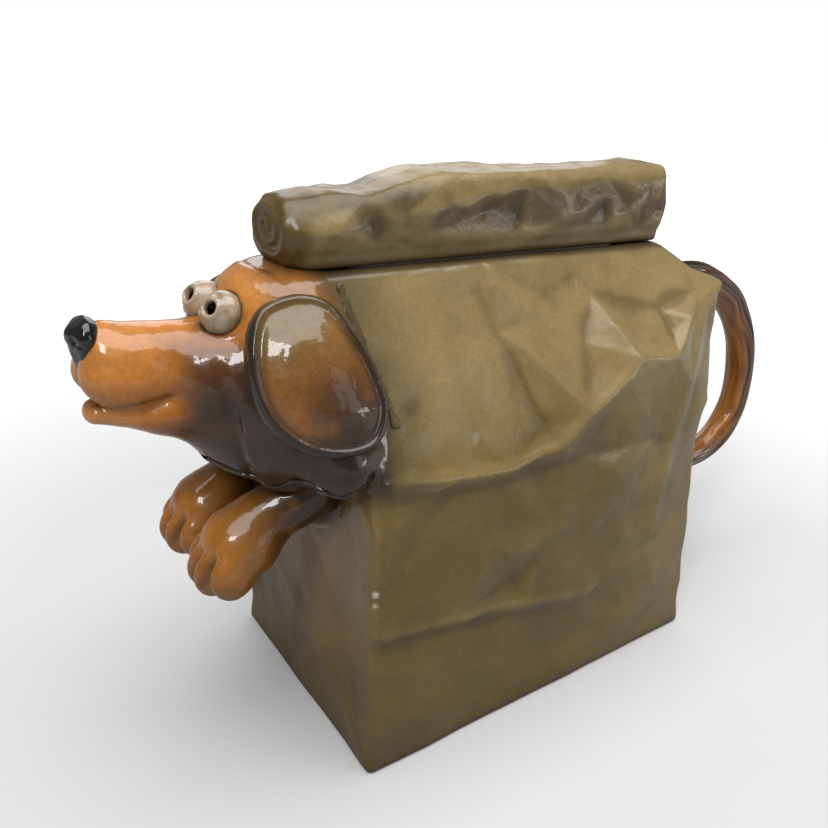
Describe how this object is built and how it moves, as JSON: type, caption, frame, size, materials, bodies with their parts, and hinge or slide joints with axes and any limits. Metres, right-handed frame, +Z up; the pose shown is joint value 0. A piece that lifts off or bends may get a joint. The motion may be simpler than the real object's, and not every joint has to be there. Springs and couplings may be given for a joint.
{
  "type": "novelty teapot",
  "caption": "Glazed ceramic teapot shaped as a crumpled paper bag: dog's head spout with forelegs and hanging ears, tail handle, lift-off rolled-bag-top lid.",
  "frame": {"origin": "centre of the bag's flat base, where the pot stands", "axes": "+X from the head spout toward the tail handle, +Y to the dog's right, +Z up"},
  "size_m": [0.2789, 0.089, 0.1699],
  "materials": {
    "bag_glaze": "khaki brown glaze, satin to gloss, shaded grey toward the dog",
    "lid_glaze": "khaki brown satin glaze",
    "bisque": "thin clear glaze over buff clay",
    "coat_glaze": "glossy orange brown, airbrushed dark brown in the folds",
    "ear_glaze": "glossy orange brown with a dark grey rim",
    "tail_glaze": "glossy orange brown with dark brown hair strokes",
    "black_glaze": "gloss black",
    "eye_glaze": "glossy stone beige"
  },
  "bodies": {
    "pot": {"bag_body": "bag_glaze", "neck_chest": "coat_glaze", "head_spout": "coat_glaze", "lower_jaw": "coat_glaze", "nose": "black_glaze", "eye_left": "eye_glaze", "eye_right": "eye_glaze", "ear_left": "ear_glaze", "ear_right": "ear_glaze", "foreleg_left": "coat_glaze", "foreleg_right": "coat_glaze", "tail_handle": "tail_glaze", "torn_edge_left": "bag_glaze", "torn_edge_right": "bag_glaze", "torn_edge_throat": "bag_glaze"},
    "lid": {"lid_roll": "lid_glaze", "lid_collar": "bisque"}
  },
  "joints": [
    {"name": "lid_lift", "type": "slide", "parent": "pot", "child": "lid", "axis": [0, 0, 1], "range_m": [0, 0.06]}
  ]
}
